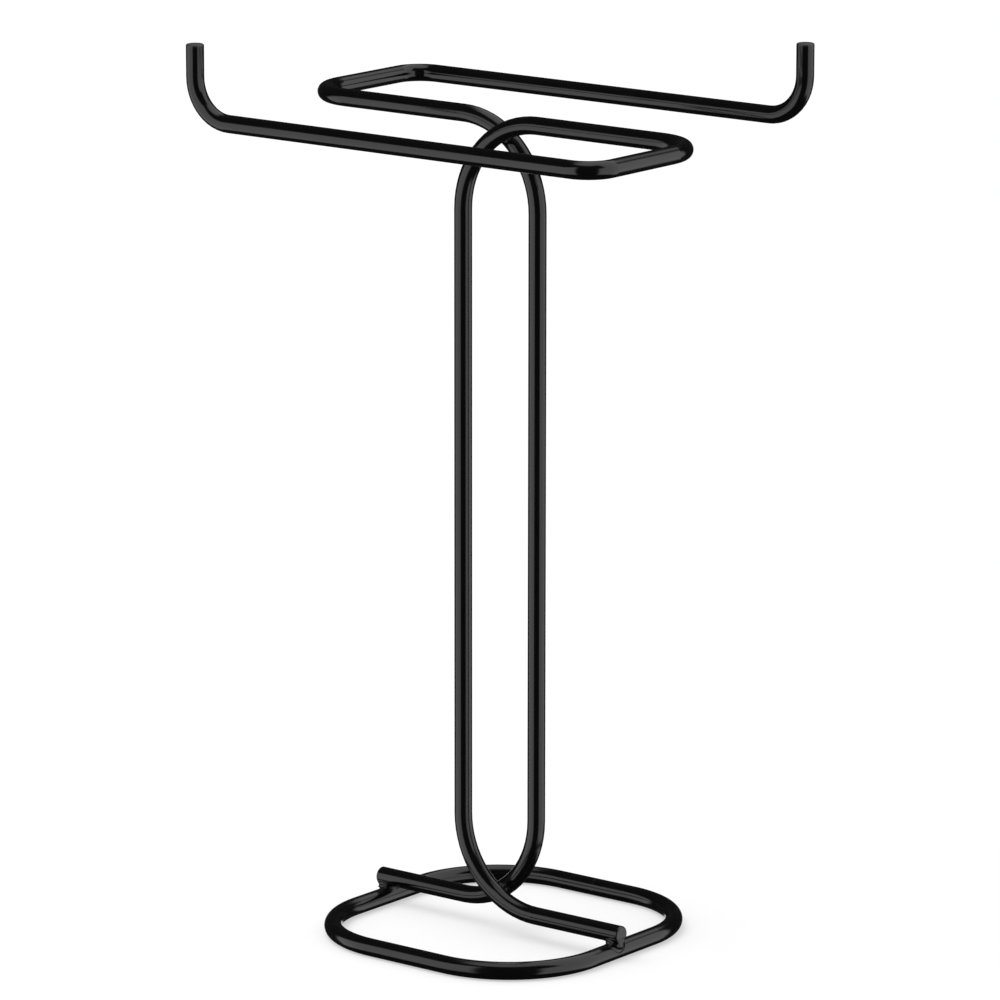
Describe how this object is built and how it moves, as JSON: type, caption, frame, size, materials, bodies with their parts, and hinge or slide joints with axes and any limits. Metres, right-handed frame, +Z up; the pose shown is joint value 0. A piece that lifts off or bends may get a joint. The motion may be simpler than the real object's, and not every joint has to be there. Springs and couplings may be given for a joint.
{
  "type": "countertop towel stand",
  "caption": "Free-standing countertop stand of bent round wire, with towel bars at the top for hanging hand towels, side loops, upturned bar ends and a closed base ring.",
  "frame": {"origin": "on the counter, under the middle of the stand, where the box of the whole object has its bottom centre", "axes": "+Z up, X along the towel bars, -Y towards the front towel bar, whose hooked end is on the -X side"},
  "size_m": [0.238, 0.1756, 0.403],
  "materials": {
    "painted_wire": "gloss black paint",
    "painted_weld": "gloss black paint over a weld"
  },
  "bodies": {
    "root": {"base_ring": "painted_wire", "ring_butt_weld": "painted_weld", "front_wire": "painted_wire", "rear_wire": "painted_wire", "upper_cross_weld": "painted_weld", "lower_cross_weld": "painted_weld", "front_foot_weld": "painted_weld", "rear_foot_weld": "painted_weld"}
  },
  "joints": []
}
